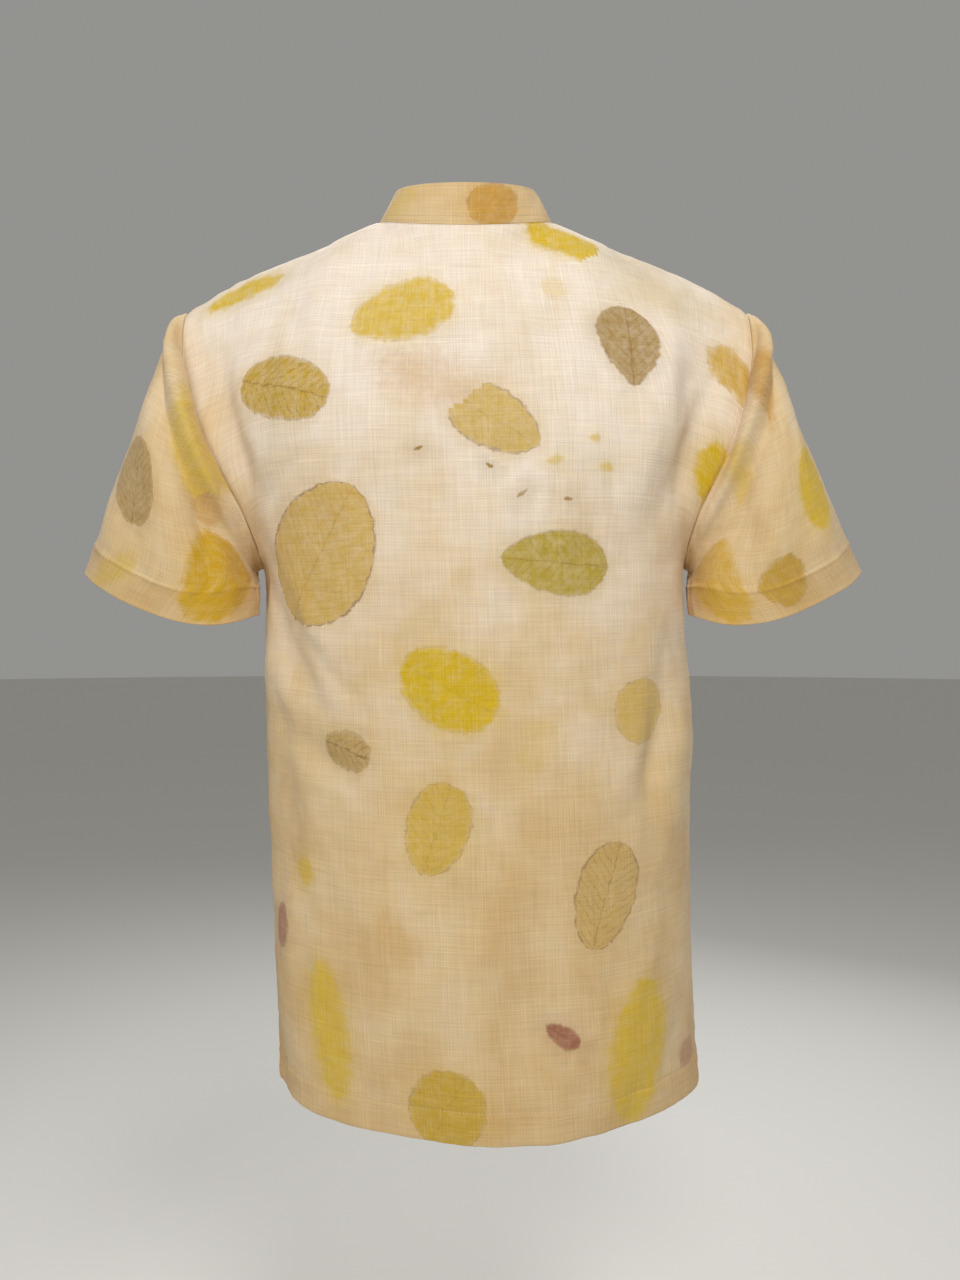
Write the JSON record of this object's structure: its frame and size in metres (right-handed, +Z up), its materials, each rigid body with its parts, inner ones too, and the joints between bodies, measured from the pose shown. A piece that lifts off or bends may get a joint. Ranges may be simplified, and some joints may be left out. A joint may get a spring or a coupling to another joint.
{
  "type": "kurta",
  "caption": "Short-sleeved linen kurta with a band collar, button placket and side slits, hollow in its worn form, printed all over with scattered leaves.",
  "frame": {"origin": "the middle of the neck opening, level with the points where the shoulder seams meet the collar", "axes": "+Z up, the wearer faces -Y and the garment's back faces +Y, and the wearer's left sleeve is at +X"},
  "size_m": [0.682, 0.2436, 0.7945],
  "materials": {
    "printed_linen": "plain-woven linen, matt, with leaf prints",
    "collar_linen": "plain-woven linen, two layers, topstitched",
    "button_shell": "satin, light brown"
  },
  "bodies": {
    "root": {"back_panel": "printed_linen", "front_panel": "printed_linen", "sleeve_left": "printed_linen", "sleeve_right": "printed_linen", "collar_band": "collar_linen", "placket_top": "printed_linen", "placket_under": "printed_linen", "button_1": "button_shell", "button_2": "button_shell", "button_3": "button_shell", "button_4": "button_shell"}
  },
  "joints": []
}
